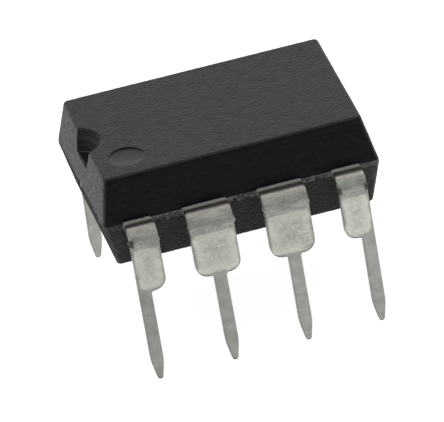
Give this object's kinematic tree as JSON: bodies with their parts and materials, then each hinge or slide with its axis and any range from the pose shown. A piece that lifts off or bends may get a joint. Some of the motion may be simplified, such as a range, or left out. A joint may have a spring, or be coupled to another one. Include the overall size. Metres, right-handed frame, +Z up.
{
  "type": "dip integrated circuit chip",
  "caption": "Plastic dual in-line chip: drafted black epoxy body with an end notch and corner dimple, on tin-plated through-hole leads, with die, die pad and bond wires inside.",
  "frame": {"origin": "on the surface that the lead tips stand on, under the centre of the body", "axes": "+Z up from the lead tips to the top face, X along the body with the notched end at -X, and leads 1 to 4 along the -Y side from -X to +X"},
  "size_m": [0.0094, 0.0086, 0.0069],
  "materials": {
    "moulded_epoxy": "matt black filled epoxy, as spark-eroded in the mould",
    "tinned_lead": "matt tin plate over copper alloy, scratched round the bend",
    "copper_frame": "bare copper alloy sheet",
    "attach_film": "silver-filled adhesive, dull",
    "silicon": "polished silicon",
    "gold_wire": "bright drawn gold wire"
  },
  "bodies": {
    "root": {"body": "moulded_epoxy", "lead_1": "tinned_lead", "lead_2": "tinned_lead", "lead_3": "tinned_lead", "lead_4": "tinned_lead", "lead_5": "tinned_lead", "lead_6": "tinned_lead", "lead_7": "tinned_lead", "lead_8": "tinned_lead", "die_pad": "copper_frame", "die_attach": "attach_film", "die": "silicon", "bond_wire_1": "gold_wire", "bond_wire_2": "gold_wire", "bond_wire_3": "gold_wire", "bond_wire_4": "gold_wire", "bond_wire_5": "gold_wire", "bond_wire_6": "gold_wire", "bond_wire_7": "gold_wire", "bond_wire_8": "gold_wire"}
  },
  "joints": []
}
